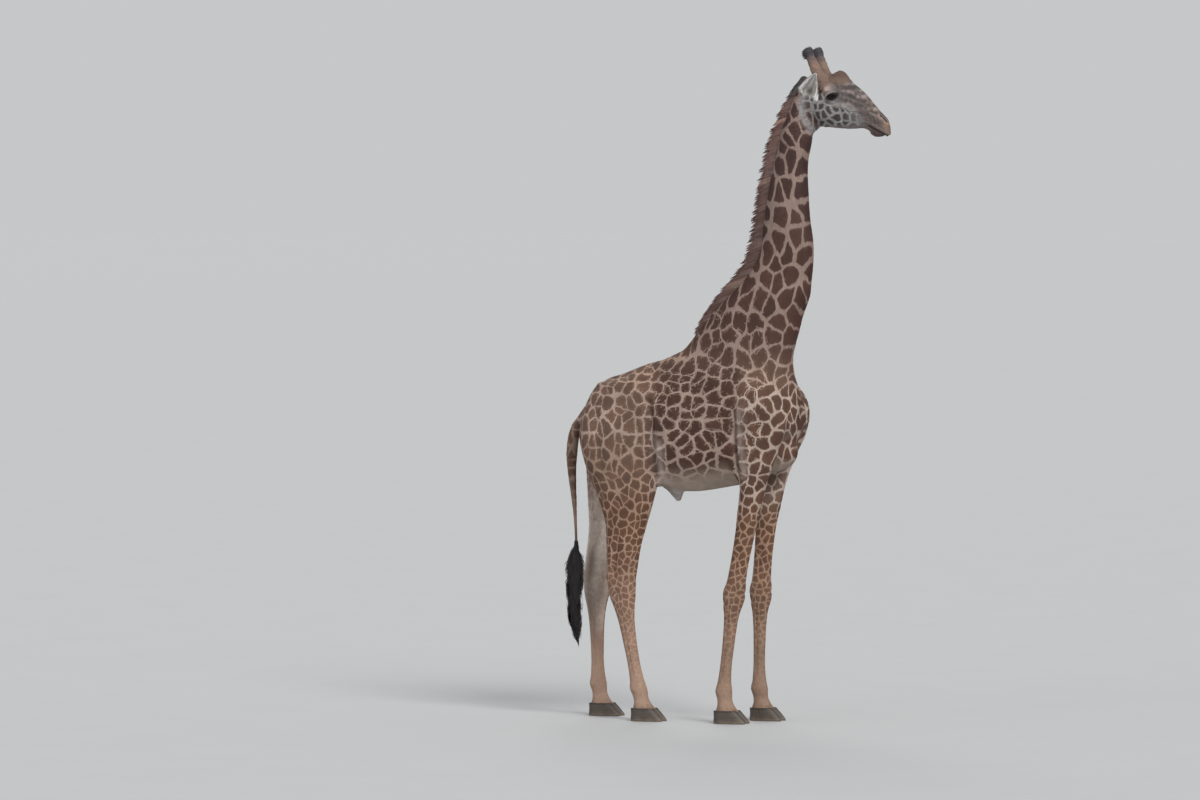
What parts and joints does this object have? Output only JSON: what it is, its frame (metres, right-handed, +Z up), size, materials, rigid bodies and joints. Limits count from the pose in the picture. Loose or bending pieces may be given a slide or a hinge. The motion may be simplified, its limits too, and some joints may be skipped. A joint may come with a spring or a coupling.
{
  "type": "giraffe, a young bull standing, life size",
  "caption": "Life-size still model of a young giraffe bull, standing with its head up on flat cloven hooves.",
  "frame": {"origin": "on the floor, under the middle of the whole animal", "axes": "+X forwards, +Y to the animal's left, +Z up"},
  "size_m": [2.4749, 0.5974, 4.7633],
  "materials": {
    "coat": "short flat hair, dark brown patches on thin pale tan lines",
    "pale_coat": "short pale grey-tan hair",
    "mane": "stiff upright brown hair",
    "tuft": "long coarse black hair",
    "horn": "skin-covered horn with short hair, black at the tip",
    "claw": "dull dark brown hoof horn, fine growth rings",
    "eye": "wet dark brown eyeball"
  },
  "bodies": {
    "root": {"trunk": "coat", "neck_lower": "coat", "neck_upper": "coat", "head": "coat", "lower_jaw": "coat", "shoulder_right": "coat", "shoulder_left": "coat", "forearm_right": "coat", "forearm_left": "coat", "forecannon_right": "coat", "forecannon_left": "coat", "haunch_right": "coat", "haunch_left": "coat", "gaskin_right": "coat", "gaskin_left": "coat", "hindcannon_right": "coat", "hindcannon_left": "coat", "sheath": "pale_coat", "tail": "coat", "ear_right": "pale_coat", "ear_left": "pale_coat", "mane": "mane", "tail_tuft": "tuft", "ossicone_right": "horn", "ossicone_left": "horn", "eye_right": "eye", "eye_left": "eye", "claw_fore_right_inner": "claw", "claw_fore_right_outer": "claw", "claw_fore_left_inner": "claw", "claw_fore_left_outer": "claw", "claw_hind_right_inner": "claw", "claw_hind_right_outer": "claw", "claw_hind_left_inner": "claw", "claw_hind_left_outer": "claw"}
  },
  "joints": []
}
